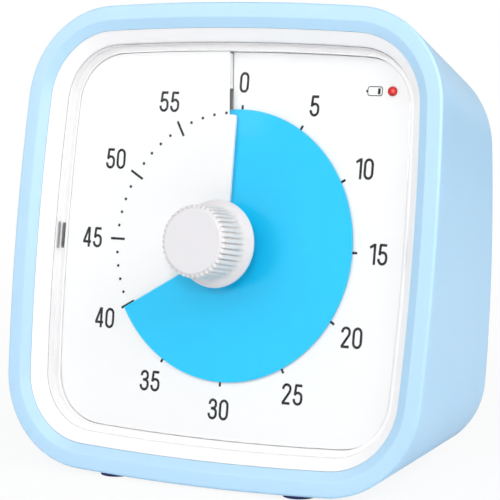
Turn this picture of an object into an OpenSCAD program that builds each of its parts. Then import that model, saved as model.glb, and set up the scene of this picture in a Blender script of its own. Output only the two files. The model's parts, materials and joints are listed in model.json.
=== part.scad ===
// Visual countdown timer for a desk: a wedge-shaped moulded case that leans
// back on its drafted bottom, a helical dial, a coloured disc that winds out
// of a slit in the dial, and a ridged knob that sets it.
// Millimetres. +Z is up, the dial faces -Y, the origin is on the ground.
// "dial space": origin at the dial's centre, +Y into the case, +Z up the dial.

/* [Case] */
// width and height of the front outline, across the middle
front_size = 112.3; // [106:0.1:120]
// radius of the slight bow of the four sides
side_bow = 620; // [450:10:900]
// corner radius of the front outline
corner_r = 23.1; // [21:0.1:25]
// how far each side draws in for each millimetre of depth
draft = 0.173; // [0.15:0.001:0.19]
// depth of the case behind the dial centre, along the dial's axis
case_depth = 45.2; // [44:0.1:52]
// thickness of the moulded shell at its front
wall = 2.3; // [2.1:0.1:2.6]
// how far the crest of the rim stands in front of the dial centre
rim_front = 6.81; // [6.3:0.01:7.6]
// how far the crest of the rim stands in from the case's edge
crest_inset = 3.65; // [3:0.05:4.2]
// width of the blue rim, from the case's edge to its opening
rim_w = 6; // [5.8:0.05:6.4]

/* [Front] */
// how far the opening's edge stands in front of the dial centre
opening_front = 5.66; // [5.4:0.01:6]
// width of the white frame's slope, from the opening to the clear cover
frame_w = 2.85; // [2.6:0.05:3]
// how far the clear cover's face stands in front of the dial centre
cover_front = 2.64; // [2.5:0.01:2.9]
// thickness of the clear cover
cover_t = 1.5; // [1.2:0.1:1.6]
// radius of the clear cover's centre hole
cover_hole_r = 4.6; // [4.4:0.1:5.2]

/* [Dial and disc] */
// rise of the dial and of the disc in one turn
pitch = 1.81; // [1.75:0.01:1.95]
// thickness of the dial sheet
dial_t = 0.7; // [0.5:0.05:0.8]
// thickness of the coloured disc
disc_t = 0.3; // [0.2:0.05:0.35]
// radius of the coloured disc
disc_r = 31.9; // [29:0.1:33]
// running gap between disc and dial
disc_gap = 0.3; // [0.25:0.01:0.32]
// angle of the slit, anticlockwise of twelve o'clock
slit_deg = 4.35; // [3.8:0.05:5]
// how far out the slit is open
slit_reach = 36.9; // [35:0.1:38]
// angle the disc shows at rest: 240 degrees is forty minutes
shown_deg = 240; // [200:1:300]

/* [Knob] */
// radius over the ridges
knob_r = 8.37; // [8:0.01:9]
// how far the knob's face stands in front of the dial centre
knob_front = 16.6; // [15.5:0.1:19]
// number of ridges round the knob
ridge_count = 40; // [30:1:44]
// depth of the ridges
ridge_depth = 0.5; // [0.3:0.05:0.6]
// radius of the flange at the knob's foot
flange_r = 10.23; // [9.8:0.01:11]
// how far the flange's front edge stands in front of the dial centre
flange_front = 5.95; // [5.6:0.05:6.2]
// radius of the spindle
spindle_r = 2.5; // [2.2:0.05:2.6]

/* [Drive] */
// gear size: pitch diameter over number of teeth
gear_module = 0.6; // [0.58:0.01:0.62]

/* [Back and base] */
// size of the battery door across
door_w = 65; // [63:0.5:67]
// size of the battery door upwards
door_h = 23; // [22:0.5:24]
// radius of the battery cell
cell_r = 7.1; // [7:0.05:7.15]
// length of the battery cell without its button
cell_l = 49.2; // [48.5:0.1:49.5]
// travel of the volume switch from end to end
switch_travel = 6; // [4:0.5:7]
// radius of the rubber feet
foot_r = 4.0; // [3.5:0.1:4.5]
// distance of the feet from the middle
foot_x = 24.6; // [22:0.1:27]
// how far the feet stand below the case
foot_proud = 0.3; // [0.3:0.05:1]

/* [Hidden] */

half = front_size / 2;
// depth of the front outline's plane in dial space
edge_y = -(rim_front - 0.21);
// the case rests on its drafted bottom, so it leans by the draft angle
lean = atan(draft);
// distance from the front outline to the point where the drafted sides meet
taper_l = half / draft;
// height of the case's lowest line and of the ground, from the dial centre
base_z = -edge_y * sin(lean) - half * cos(lean);
floor_z = base_z - foot_proud;
// upright position of the back of the case
back_y = case_depth * cos(lean);
// knob and back set the overall depth, and the origin is halfway
knob_nose_r = knob_r - 1.47;
nose_y = -knob_front * cos(lean) - knob_nose_r * sin(lean);
mid_y = (back_y + nose_y) / 2;

clear = 0.05;
corner_steps = 9;
$fn = 48;

// ---- layers in dial space, front to back
lip_y = -3.4;
seat_y = 0;
frame_back_y = 2.9;
chassis_y = 4.2;
chassis_t = 2.0;
bush_y1 = 9.2;
wheel_y = 10.4;
wheel_t = 2.0;
clip_y = wheel_y + wheel_t + 1.4;
gear_cover_y = 15.4;
gear_cover_t = 2.0;
motor_y = gear_cover_y + gear_cover_t;
motor_l = 9.4;
motor_r = 9.5;
board_y = 12.0;
board_t = 1.6;

// a turn of the knob turns the motor's pinion five times
wheel_teeth = 50;
pinion_teeth = 10;
wheel_r = gear_module * wheel_teeth / 2;
centre_d = wheel_r + gear_module * pinion_teeth / 2;
motor_x = -centre_d * sin(45);
motor_z = centre_d * cos(45);

// half widths from the blue rim inwards: crest, opening, cover's seat and inside, ledge, dial
crest_half = half - crest_inset;
opening_half = half - rim_w;
cover_half = opening_half - frame_w;
inner_half = cover_half - 1.6;
ledge_half = cover_half - 1.8;
dial_half = ledge_half - 0.2;
dial_hole_r = 5.2;
hub_r = 4.5;
lamp_x = dial_half - 6.4;
lamp_z = dial_half - 8.4;
lamp_r = 1.25;
// posts of the frame and of the dial, from the middle both ways
frame_post = cover_half - 5;
dial_post = dial_half - 14.3;

// ---- upright places on the back, heights from the dial centre
panel_y1 = (case_depth - 0.6) * cos(lean);
panel_t = 2.3 * cos(lean);
panel_y0 = panel_y1 - panel_t;
bay_z = -22;
bay_wall = 1.5;
cell_y = panel_y1 - 2.4 - cell_r;
bay_y0 = cell_y - cell_r - 0.7;
bay_half_w = cell_l / 2 + 5.2;
bay_half_h = cell_r + 0.9;
door_t = 1.8;
door_pin_r = 0.7;
door_pin_l = 1.3;
switch_x = -24;
switch_z = -2;
grille_z = 15;

// length of the rear screws' posts
post_l = 11;
// distance of the four rear screws from the corners of the case's inside
screw_inset = 4.5;

// ---- outlines: a square with bowed sides and round corners

function rc(a) = corner_r - (half - a);
function corner_c(a) = (sqrt(2 * pow(side_bow - rc(a), 2) - pow(side_bow - a, 2))
  - (side_bow - a)) / 2;
function side_g(a) = atan2(corner_c(a), corner_c(a) + side_bow - a);

function quarter(a) = let (c = corner_c(a), g = side_g(a), r = rc(a)) concat(
  [for (t = [0, 0.5]) [a - side_bow + side_bow * cos(t * g), side_bow * sin(t * g)]],
  [for (i = [0 : corner_steps]) let (b = g + (90 - 2 * g) * i / corner_steps)
    [c + r * cos(b), c + r * sin(b)]],
  [[side_bow * sin(g / 2), a - side_bow + side_bow * cos(g / 2)]]);

function outline(a) = [for (q = [0 : 3]) for (p = quarter(a))
  [p.x * cos(90 * q) - p.y * sin(90 * q), p.x * sin(90 * q) + p.y * cos(90 * q)]];

// ring of the outline at depth y in dial space
function flat_ring(a, y) = [for (p = outline(a)) [p.x, y, p.y]];
// ring that follows the draft of the case
function drawn_ring(a, y) = let (k = 1 - (y - edge_y) / taper_l)
  [for (p = outline(a)) [k * p.x, y, k * p.y]];
// drafted ring cut by an upright plane that meets the dial's axis at depth b
function back_ring(a, b) = [for (p = outline(a))
  let (z = p.y * (1 - (b - edge_y) / taper_l) / (1 - p.y * draft / taper_l),
       y = b - draft * z)
  [p.x * (1 - (y - edge_y) / taper_l), y, z]];
// the same cut, drawn flat on the upright plane: x, height
function back_outline(a, b) = [for (p = back_ring(a, b))
  [p.x, p.z * cos(lean) - p.y * sin(lean)]];

// half width inside the case at height h, on the upright plane at depth y
function wall_x(h, y) = let (o = back_outline(half - wall, y / cos(lean)), n = len(o))
  max([for (i = [0 : n - 1]) let (p = o[i], q = o[(i + 1) % n])
    if ((p.y - h) * (q.y - h) < 0) p.x + (q.x - p.x) * (h - p.y) / (q.y - p.y)]);

// rear screw of corner q, set in from the corner towards the panel's middle
function screw_spot(q) = let (o = back_outline(half - wall, panel_y1 / cos(lean)),
  n = corner_steps + 4, k = n * q + 2 + floor(corner_steps / 2),
  p = (o[k] + o[k + 1]) / 2, m = [0, (o[n + 1].y + o[3 * n + 1].y) / 2])
  p + screw_inset * (m - p) / norm(m - p);
screw_spots = [for (q = [0 : 3]) screw_spot(q)];

// distance from the centre to the outline, phi clockwise from twelve o'clock
function reach(phi, a) = let (
  m = max(abs(sin(phi)), abs(cos(phi))), n = min(abs(sin(phi)), abs(cos(phi))),
  c = corner_c(a), g = side_g(a), r = rc(a), b = side_bow - a,
  limit = atan2(c + r * sin(g), c + r * cos(g)))
  atan2(n, m) < limit
    ? -m * b + sqrt(m * m * b * b - b * b + side_bow * side_bow)
    : c * (m + n) + sqrt(c * c * (m + n) * (m + n) - 2 * c * c + r * r);

// depth of the dial's face, phi clockwise from twelve o'clock
function dial_y(phi) = pitch * (1 - phi / 360);

// ---- builders

// tube made of rings, the last joined to the first
module ring_tube(rings) {
  n = len(rings[0]);
  m = len(rings);
  polyhedron(
    points = [for (r = rings) for (p = r) p],
    faces = [for (j = [0 : m - 1]) for (i = [0 : n - 1])
      let (a = j * n + i, b = j * n + (i + 1) % n,
           c = ((j + 1) % m) * n + (i + 1) % n, d = ((j + 1) % m) * n + i)
      for (f = [[a, b, c], [a, c, d]]) f]);
}

// helical sheet from angle a0 to a1, its face dy in front of the dial's
module helical_sheet(a0, a1, steps, r0, rim, dy, t) {
  phis = [for (i = [0 : steps]) a0 + (a1 - a0) * i / steps];
  pts = [for (f = phis) let (y = dial_y(f) - dy, r1 = rim > 0 ? rim : reach(f, -rim))
    for (q = [[r0, y], [r1, y], [r1, y + t], [r0, y + t]])
      [q[0] * sin(f), q[1], q[0] * cos(f)]];
  sides = [for (i = [0 : steps - 1]) for (k = [0 : 3])
    let (a = 4 * i + k, b = 4 * i + (k + 1) % 4)
    for (f = [[a, b, b + 4], [a, b + 4, a + 4]]) f];
  last = 4 * steps;
  polyhedron(points = pts, faces = concat(sides,
    [[0, 3, 2, 1], [last, last + 1, last + 2, last + 3]]));
}

// flat prism of a 2D shape between two depths in dial space
module slab(y0, y1) {
  translate([0, y1, 0]) rotate([90, 0, 0]) linear_extrude(height = y1 - y0) children();
}

// round bar along Y between two depths
module bar(x, z, r, y0, y1) {
  translate([x, y1, z]) rotate([90, 0, 0]) cylinder(r = r, h = y1 - y0);
}

// turned shape about the dial's axis, profile in radius and distance to the front
module turned() {
  rotate([90, 0, 0]) rotate_extrude($fn = 96) children();
}

// from dial space to the standing part
module leaned() {
  translate([0, -mid_y, -floor_z]) rotate([-lean, 0, 0]) children();
}

// upright space, origin at the dial centre
module upright() {
  translate([0, -mid_y, -floor_z]) children();
}

module block(x0, x1, y0, y1, z0, z1) {
  translate([x0, y0, z0]) cube([x1 - x0, y1 - y0, z1 - z0]);
}

// toothed wheel outline, one tooth at twelve o'clock turned by shift teeth
module teeth(count, shift) {
  r = gear_module * count / 2;
  step = 360 / count;
  polygon([for (i = [0 : count - 1]) for (p = [[-0.31, -1.1], [-0.21, 0], [-0.12, 0.8],
    [0.12, 0.8], [0.21, 0], [0.31, -1.1]])
    let (a = (i + shift + p[0]) * step, q = r + p[1] * gear_module)
    [q * sin(a), q * cos(a)]]);
}

// ---- case

module case_shell() {
  color([0.60, 0.80, 0.96]) difference() {
    union() {
      leaned() ring_tube([
        back_ring(half - wall, case_depth),
        back_ring(half - wall, case_depth - 2.9),
        back_ring(half - wall - 1.6, case_depth - 2.9),
        back_ring(half - wall - 1.6, case_depth - 5.2),
        back_ring(half - wall, case_depth - 7.4),
        drawn_ring(half - wall, lip_y),
        flat_ring(opening_half, lip_y),
        flat_ring(opening_half, -opening_front),
        flat_ring(crest_half - 0.2, -rim_front + 0.08),
        flat_ring(crest_half + 0.4, -rim_front),
        flat_ring(half - 1.0, edge_y - 0.15),
        flat_ring(half - 0.5, edge_y - 0.06),
        flat_ring(half - 0.18, edge_y + 0.22),
        drawn_ring(half, edge_y + 0.75),
        back_ring(half, case_depth - 1.1),
        back_ring(half - 0.3, case_depth - 0.3),
        back_ring(half - 1.0, case_depth)]);
      upright() for (s = screw_spots) screw_post(s);
    }
    upright() {
      for (s = screw_spots) bar(s.x, s.y, 1.2, panel_y0 - 9, panel_y0 + 0.01);
      foot_spots(foot_r + 0.02, floor_z - 1, floor_z + 1.6);
    }
  }
}

// post inside the case for one rear screw, with a web to the nearest side wall
module screw_post(s) {
  y0 = panel_y0 - post_l;
  bar(s.x, s.y, 3.0, y0, panel_y0);
  web = [[abs(s.x), y0], [wall_x(s.y, y0) + wall / 2, y0],
    [wall_x(s.y, panel_y0) + wall / 2, panel_y0], [abs(s.x), panel_y0]];
  translate([0, 0, s.y - 0.8]) linear_extrude(height = 1.6)
    polygon([for (p = web) [s.x > 0 ? p.x : -p.x, p.y]]);
}

module foot_spots(r, z0, z1) {
  for (x = [-foot_x, foot_x]) for (y = [foot_front_y, foot_rear_y])
    translate([x, y, z0]) cylinder(r = r, h = z1 - z0);
}

foot_front_y = -2.0 * cos(lean) - half * sin(lean) + 0.4;
foot_rear_y = back_y - 9;

module feet(y) {
  color([0.10, 0.14, 0.36]) upright() for (x = [-foot_x, foot_x])
    translate([x, y, floor_z]) cylinder(r = foot_r, h = 1.6);
}

module front_feet() {
  feet(foot_front_y);
}

module rear_feet() {
  feet(foot_rear_y);
}

// ---- front: frame, cover, dial

module dial_frame() {
  color([0.95, 0.95, 0.96]) leaned() difference() {
    union() {
      ring_tube([
        flat_ring(opening_half - 0.1, lip_y),
        flat_ring(opening_half + 2.3, lip_y),
        flat_ring(opening_half + 2.3, lip_y + 2.0),
        flat_ring(opening_half - 0.35, lip_y + 2.0),
        flat_ring(opening_half - 0.35, frame_back_y),
        flat_ring(ledge_half, frame_back_y),
        flat_ring(ledge_half, seat_y),
        flat_ring(cover_half, seat_y),
        flat_ring(cover_half, -cover_front),
        flat_ring(opening_half - 0.1, -opening_front)]);
      for (x = [-1, 1]) for (z = [-1, 1])
        bar(x * frame_post, z * frame_post, 2.0, frame_back_y - 0.8, chassis_y);
    }
    for (x = [-1, 1]) for (z = [-1, 1])
      bar(x * frame_post, z * frame_post, 0.9, -1.5, chassis_y + 0.01);
    for (x = [-1, 1]) translate([x * (inner_half + 0.75), 0, 0])
      block(-0.45, 0.45, seat_y - 0.01, frame_back_y + 0.01, -3.1, 3.1);
  }
}

module clear_cover() {
  color([0.9, 0.95, 1.0, 0.35]) leaned() {
    difference() {
      slab(-cover_front, seat_y) polygon(outline(cover_half - 0.1));
      slab(-cover_front + cover_t, seat_y + 1) polygon(outline(inner_half));
      bar(0, 0, cover_hole_r, -cover_front - 1, seat_y);
    }
    cover_tab();
    mirror([1, 0, 0]) cover_tab();
  }
}

// snap tab of the cover, hooked behind the frame
module cover_tab() {
  block(inner_half + 0.4, inner_half + 1.1, seat_y - 0.3, frame_back_y + 0.6, -2.8, 2.8);
  block(inner_half + 1.0, inner_half + 1.5, frame_back_y + 0.05, frame_back_y + 0.6,
    -2.8, 2.8);
}

module dial_plate() {
  y0 = dial_y(360 - slit_deg);
  color([0.97, 0.97, 0.97]) leaned() difference() {
    union() {
      helical_sheet(-slit_deg, 360 - slit_deg, 90, dial_hole_r, -dial_half, 0, dial_t);
      // step that closes the slit outside the disc
      rotate([0, -slit_deg, 0]) block(-dial_t, 0, y0 + 0.02, y0 + pitch + dial_t - 0.02,
        slit_reach, reach(slit_deg, dial_half) - 0.3);
      // lip that overhangs the slit beside the disc
      slab(y0, y0 + dial_t) polygon(concat(
        [[-10.2 * sin(slit_deg) - 0.3, 10.2], [-0.62, 10.2], [-0.62, disc_r - 2]],
        [for (b = [0 : 30 : 90]) [-1.22 + 0.6 * cos(b), disc_r - 2 + 0.6 * sin(b)]],
        [[-(disc_r - 1.4) * sin(slit_deg) - 0.3, disc_r - 1.4]]));
      for (x = [-1, 1]) for (z = [-1, 1])
        bar(x * dial_post, z * dial_post, 2.0,
          dial_y((atan2(x, z) + 360) % 360) + dial_t / 2, chassis_y);
    }
    bar(lamp_x, lamp_z, lamp_r + 0.05, -2, 4);
  }
}

// ---- coloured disc and its hub

module colour_disc() {
  color([0.22, 0.80, 1.0]) leaned()
    helical_sheet(shown_deg - 358.6, shown_deg - 0.6, 90, 4.2, disc_r,
      disc_gap + disc_t, disc_t);
}

module disc_hub() {
  color([0.20, 0.66, 0.92]) leaned() difference() {
    bar(0, 0, hub_r, -0.2, 2.4);
    bar(0, 0, spindle_r + clear, -1, 3);
    slab(-1, 3) square([2 * spindle_r + 1.4, 1.1], center = true);
    helical_sheet(shown_deg - 358.6, shown_deg - 0.6, 90, 4.2, disc_r,
      disc_gap + disc_t, disc_t);
  }
}

// ---- knob and spindle

// ridged outline: each ridge climbs clockwise and drops steeply
module ridges(r) {
  step = 360 / ridge_count;
  polygon([for (i = [0 : ridge_count - 1]) for (p = [[0, ridge_depth], [0.74, 0], [0.86, 0]])
    let (a = (i + p[0]) * step) [(r - p[1]) * sin(a), (r - p[1]) * cos(a)]]);
}

module knob() {
  cove = [for (b = [180 : 11 : 246]) [knob_r + 2.85 + 3.0 * cos(b),
    flange_front + 3.25 + 3.0 * sin(b)]];
  color([0.93, 0.93, 0.94]) leaned() difference() {
    union() {
      rotate([90, 0, 0]) intersection() {
        linear_extrude(height = knob_front - 1.0) ridges(knob_r + 0.1);
        rotate_extrude($fn = 96) polygon([[0, flange_front], [flange_r, flange_front],
          [knob_r + 0.15, flange_front + 2.6], [knob_r, knob_front - 1.35],
          [knob_r - 0.3, knob_front - 1.1], [0, knob_front - 1.1]]);
      }
      turned() polygon(concat([[0, 4.9], [flange_r - 0.25, 4.9], [flange_r, 5.15],
        [flange_r, flange_front], [flange_r - 0.14, flange_front + 0.2]],
        [for (i = [0 : 6]) cove[6 - i]],
        [[knob_r - ridge_depth, knob_front - 1.5], [knob_r - 0.75, knob_front - 0.5],
        [knob_r - 0.95, knob_front - 0.17], [knob_nose_r, knob_front], [0, knob_front]]));
      turned() polygon([[0, 1.3], [4.0, 1.3], [4.0, 5], [0, 5]]);
    }
    turned() polygon([[4.0, 4.8], [flange_r - 3.6, 4.8], [flange_r - 3.9, 13.0],
      [4.0, 13.0]]);
    bar(0, 0, spindle_r, -13.5, 0);
  }
}

module spindle() {
  color([0.72, 0.73, 0.75]) leaned() union() {
    bar(0, 0, spindle_r, -13.5, gear_cover_y + gear_cover_t + 0.6);
    // two ribs that carry the disc round and let it slide
    slab(-1.1, chassis_y - 0.3) square([2 * spindle_r + 1.0, 0.9], center = true);
    // shoulder that the wheel is pressed against
    bar(0, 0, 4.0, bush_y1 + 0.3, wheel_y);
  }
}

module spindle_bush() {
  color([0.80, 0.62, 0.30]) leaned() difference() {
    union() {
      bar(0, 0, 4.5, chassis_y, bush_y1);
      bar(0, 0, 5.4, chassis_y + chassis_t, chassis_y + chassis_t + 0.8);
    }
    bar(0, 0, spindle_r + clear, chassis_y - 1, bush_y1 + 1);
  }
}

module spindle_wheel() {
  color([0.90, 0.88, 0.80]) leaned() difference() {
    slab(wheel_y, wheel_y + wheel_t) teeth(wheel_teeth, -wheel_teeth / 8);
    bar(0, 0, spindle_r, wheel_y - 1, wheel_y + wheel_t + 1);
    for (a = [0 : 60 : 300]) rotate([0, a + 30, 0])
      bar(0, 9.2, 2.6, wheel_y - 1, wheel_y + wheel_t + 1);
  }
}

// dished washer that lets the knob slip on the wheel when it is set by hand
module clutch_spring() {
  y0 = wheel_y + wheel_t;
  color([0.66, 0.67, 0.70]) leaned() rotate([90, 0, 0]) rotate_extrude($fn = 64)
    polygon([[5.2, -y0], [5.2, -y0 - 0.35], [3.2, -clip_y], [spindle_r, -clip_y],
      [spindle_r, -clip_y + 0.35], [3.0, -clip_y + 0.35], [4.7, -y0]]);
}

module clutch_clip() {
  color([0.55, 0.56, 0.58]) leaned() difference() {
    bar(0, 0, 4.2, clip_y, clip_y + 0.6);
    bar(0, 0, spindle_r, clip_y - 1, clip_y + 1);
    block(-0.9, 0.9, clip_y - 1, clip_y + 1, 2.0, 5);
  }
}

// ---- drive

module motor_can() {
  color([0.70, 0.71, 0.73]) leaned() difference() {
    union() {
      bar(motor_x, motor_z, motor_r, motor_y, motor_y + motor_l);
      slab(motor_y, motor_y + 1.0) translate([motor_x, motor_z])
        square([2 * motor_r + 5, 6], center = true);
    }
    bar(motor_x, motor_z, 1.0 + clear, motor_y - 1, motor_y + 5);
  }
}

module motor_shaft() {
  color([0.78, 0.79, 0.80]) leaned()
    bar(motor_x, motor_z, 1.0, wheel_y - 0.8, motor_y + 4.5);
}

module motor_pinion() {
  color([0.85, 0.72, 0.40]) leaned() difference() {
    translate([motor_x, 0, motor_z]) slab(wheel_y - 0.4, wheel_y + wheel_t + 0.6)
      teeth(pinion_teeth, 3 * pinion_teeth / 8 + 0.5);
    bar(motor_x, motor_z, 1.0, wheel_y - 2, wheel_y + wheel_t + 2);
  }
}

// moulded plate behind the dial that carries the works
module chassis() {
  y1 = chassis_y + chassis_t;
  color([0.86, 0.87, 0.88]) leaned() difference() {
    union() {
      slab(chassis_y, y1) polygon(outline(opening_half - 0.65));
      for (p = cover_posts) bar(p.x, p.y, 2.6, y1 - 0.5, gear_cover_y);
      for (p = board_posts) bar(p.x, p.y, 2.2, y1 - 0.5, board_y);
      slab(y1 - 0.5, y1 + 1.6) difference() {
        circle(r = wheel_r + 4, $fn = 64);
        circle(r = wheel_r + 2.6, $fn = 64);
        translate([motor_x, motor_z]) circle(r = 6);
      }
    }
    bar(0, 0, 4.5, chassis_y - 1, y1 + 1);
    bar(lamp_x, lamp_z, lamp_r + clear, chassis_y - 1, y1 + 1);
    for (p = cover_posts) bar(p.x, p.y, 0.9, gear_cover_y - 6, gear_cover_y + 1);
    for (p = board_posts) bar(p.x, p.y, 0.9, board_y - 4, board_y + 1);
    for (x = [-1, 1]) for (z = [-1, 1])
      bar(x * frame_post, z * frame_post, 1.2, chassis_y - 1, y1 + 1);
    for (x = [-1, 1]) slab(chassis_y - 1, y1 + 1) translate([x * 34, -8])
      square([12, 22], center = true);
  }
}

// distance of the gear cover's posts from the spindle
cover_post_d = 24.5;
cover_posts = [for (a = [-95, 10, 95, 180]) cover_post_d * [sin(a), cos(a)]];
// the board lies over the top of the chassis, on four posts
board_half_w = 28;
board_z0 = cover_post_d + 3;
board_z1 = opening_half - 6.9;
board_posts = [for (x = [-1, 1]) for (z = [board_z0 + 3, board_z1 - 3]) [x * (board_half_w - 3), z]];
sounder_r = 7;
sounder_x = 9;
sounder_z = (board_z0 + board_z1) / 2;

module gear_cover() {
  y1 = gear_cover_y + gear_cover_t;
  color([0.82, 0.83, 0.85]) leaned() difference() {
    slab(gear_cover_y, y1) union() {
      circle(r = cover_post_d + 3, $fn = 96);
      translate([motor_x, motor_z]) square([2 * motor_r + 5.6, 12], center = true);
    }
    bar(0, 0, spindle_r + clear, gear_cover_y - 1, y1 + 1);
    bar(motor_x, motor_z, 3.2, gear_cover_y - 1, y1 + 1);
    for (p = cover_posts) bar(p.x, p.y, 1.2, gear_cover_y - 1, y1 + 1);
    slab(gear_cover_y - 1, y1 + 1) translate([12, -12]) circle(r = 6.5);
  }
}

module chassis_screws() {
  y1 = chassis_y + chassis_t;
  color([0.62, 0.63, 0.65]) leaned() {
    for (p = cover_posts) screw(p, gear_cover_y + gear_cover_t, 6.5, 0.9);
    for (p = board_posts) screw(p, board_y + board_t, 4.5, 0.9);
    for (x = [-1, 1]) for (z = [-1, 1])
      screw([x * frame_post, z * frame_post], y1, 6, 0.9);
  }
}

// screw with a pan head on the face at depth y, its shank to the front
module screw(p, y, l, r) {
  bar(p.x, p.y, r, y - l, y + 0.2);
  bar(p.x, p.y, 1.9, y, y + 1.2);
}

module circuit_board() {
  y1 = board_y + board_t;
  color([0.10, 0.42, 0.25]) leaned() difference() {
    union() {
      block(-board_half_w, board_half_w, board_y, y1, board_z0, board_z1);
      block(-14, -6, y1 - 0.1, y1 + 1.4, sounder_z - 3.5, sounder_z + 3.5);
      block(-21, -17.5, y1 - 0.1, y1 + 2.2, sounder_z - 2, sounder_z + 6);
    }
    for (p = board_posts) bar(p.x, p.y, 0.9, board_y - 1, y1 + 1);
  }
}

module sounder() {
  y1 = board_y + board_t;
  color([0.10, 0.10, 0.11]) leaned() difference() {
    bar(sounder_x, sounder_z, sounder_r, y1, y1 + 5);
    bar(sounder_x, sounder_z, 1.2, y1 + 3, y1 + 6);
  }
}

module indicator_lamp() {
  y0 = dial_y(atan2(lamp_x, lamp_z));
  color([0.85, 0.05, 0.06]) leaned() union() {
    bar(lamp_x, lamp_z, lamp_r, y0 - 0.1, chassis_y + chassis_t + 0.6);
    bar(lamp_x, lamp_z, 1.9, chassis_y + chassis_t, chassis_y + chassis_t + 0.6);
    intersection() {
      translate([lamp_x, y0 - 0.1, lamp_z]) sphere(r = lamp_r);
      bar(lamp_x, lamp_z, 2, y0 - 2.2, y0);
    }
  }
}

// ---- back: cover, battery bay, switch

module rear_cover() {
  color([0.56, 0.76, 0.93]) upright() difference() {
    union() {
      slab(panel_y0, panel_y1) polygon(back_outline(half - wall - 0.3, case_depth - 0.6));
      block(-bay_half_w - bay_wall, bay_half_w + bay_wall, bay_y0 - bay_wall,
        panel_y0 + 0.1, bay_z - bay_half_h - bay_wall, bay_z + bay_half_h + bay_wall);
      for (x = [-1, 1]) translate([x * (door_w / 2 + 1.4), 0, 0])
        block(-1.9, 1.9, panel_y1 - 4.2, panel_y0 + 0.1, door_pin_z - 2, door_pin_z + 2.4);
      // cradle for the switch
      block(switch_x - 8, switch_x + 8, panel_y0 - 2.6, panel_y0 + 0.1, switch_z - 4.6,
        switch_z + 4.6);
    }
    block(-bay_half_w, bay_half_w, bay_y0, panel_y1 + 1, bay_z - bay_half_h,
      bay_z + bay_half_h);
    block(-door_w / 2 - 0.3, door_w / 2 + 0.3, panel_y1 - door_t - 0.3, panel_y1 + 1,
      bay_z - door_h / 2 - 0.3, bay_z + door_h / 2 + 0.3);
    // sockets for the door's pivot pins
    translate([0, door_pin_y, door_pin_z]) rotate([0, 90, 0])
      cylinder(r = door_pin_r + clear, h = door_w + 2 * door_pin_l + 0.6, center = true);
    // finger notch above the door
    translate([0, panel_y1 + 5.5, bay_z + door_h / 2 + 1]) sphere(r = 6.6);
    // slot for the switch
    block(switch_x - switch_travel / 2 - 2.4, switch_x + switch_travel / 2 + 2.4,
      panel_y0 - 1, panel_y1 + 1, switch_z - 1.7, switch_z + 1.7);
    block(switch_x - 6.5, switch_x + 6.5, panel_y0 - 3, panel_y0, switch_z - 3.1,
      switch_z + 3.1);
    for (s = screw_spots) {
      bar(s.x, s.y, 1.5, panel_y0 - 1, panel_y1 + 1);
      bar(s.x, s.y, 2.7, panel_y1 - 1.0, panel_y1 + 1);
    }
    // sound holes
    bar(0, grille_z, 1.0, panel_y0 - 1, panel_y1 + 1);
    for (a = [0 : 60 : 300]) bar(4 * sin(a), grille_z + 4 * cos(a), 1.0, panel_y0 - 1,
      panel_y1 + 1);
    for (a = [0 : 30 : 330]) bar(8 * sin(a), grille_z + 8 * cos(a), 1.0, panel_y0 - 1,
      panel_y1 + 1);
  }
}

door_pin_y = panel_y1 - door_t / 2;
door_pin_z = bay_z - door_h / 2 + door_t / 2;

module battery_door() {
  color([0.56, 0.76, 0.93]) upright() difference() {
    union() {
      block(-door_w / 2, door_w / 2, panel_y1 - door_t, panel_y1, door_pin_z,
        bay_z + door_h / 2);
      translate([0, door_pin_y, door_pin_z]) rotate([0, 90, 0]) union() {
        cylinder(r = door_t / 2, h = door_w, center = true);
        cylinder(r = door_pin_r, h = door_w + 2 * door_pin_l, center = true);
      }
    }
    // ribbed grip near the top edge
    for (k = [0 : 3]) block(-9, 9, panel_y1 - 0.4, panel_y1 + 1,
      bay_z + door_h / 2 - 3.2 - 1.6 * k, bay_z + door_h / 2 - 2.5 - 1.6 * k);
  }
}

module battery_cell() {
  color([0.20, 0.20, 0.22]) upright() translate([-cell_l / 2 + 0.4, cell_y, bay_z])
    rotate([0, 90, 0]) union() {
      cylinder(r = cell_r, h = cell_l);
      translate([0, 0, cell_l - 0.1]) cylinder(r = 2.75, h = 1.3);
    }
}

// coil that presses on the flat end of the cell, wound from its backing plate
module cell_spring() {
  x0 = -bay_half_w;
  x1 = -cell_l / 2 + 0.4;
  turns = 3;
  steps = 48;
  wire = 0.35;
  pts = [for (i = [0 : steps]) let (t = i / steps, a = 360 * turns * t, r = 4.6 - 2.0 * t)
    for (k = [0 : 5]) let (q = r + wire * cos(60 * k))
      [x0 + 0.6 + (x1 - x0 - 1.0) * t + wire * sin(60 * k), q * cos(a), q * sin(a)]];
  color([0.75, 0.76, 0.78]) upright() translate([0, cell_y, bay_z]) union() {
    block(x0, x0 + 0.4, -5.6, 5.6, -6, 6);
    polyhedron(points = pts, faces = concat(
      [for (i = [0 : steps - 1]) for (k = [0 : 5])
        let (a = 6 * i + k, b = 6 * i + (k + 1) % 6)
        for (f = [[a, b, b + 6], [a, b + 6, a + 6]]) f],
      [[5, 4, 3, 2, 1, 0], [for (k = [0 : 5]) 6 * steps + k]]));
  }
}

module cell_plate() {
  x1 = bay_half_w;
  x0 = cell_l / 2 + 1.6;
  color([0.75, 0.76, 0.78]) upright() translate([0, cell_y, bay_z]) union() {
    block(x1 - 0.4, x1, -5.6, 5.6, -6, 6);
    rotate([0, 90, 0]) translate([0, 0, x0])
      cylinder(r1 = 2.2, r2 = 3.4, h = x1 - x0);
  }
}

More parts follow.
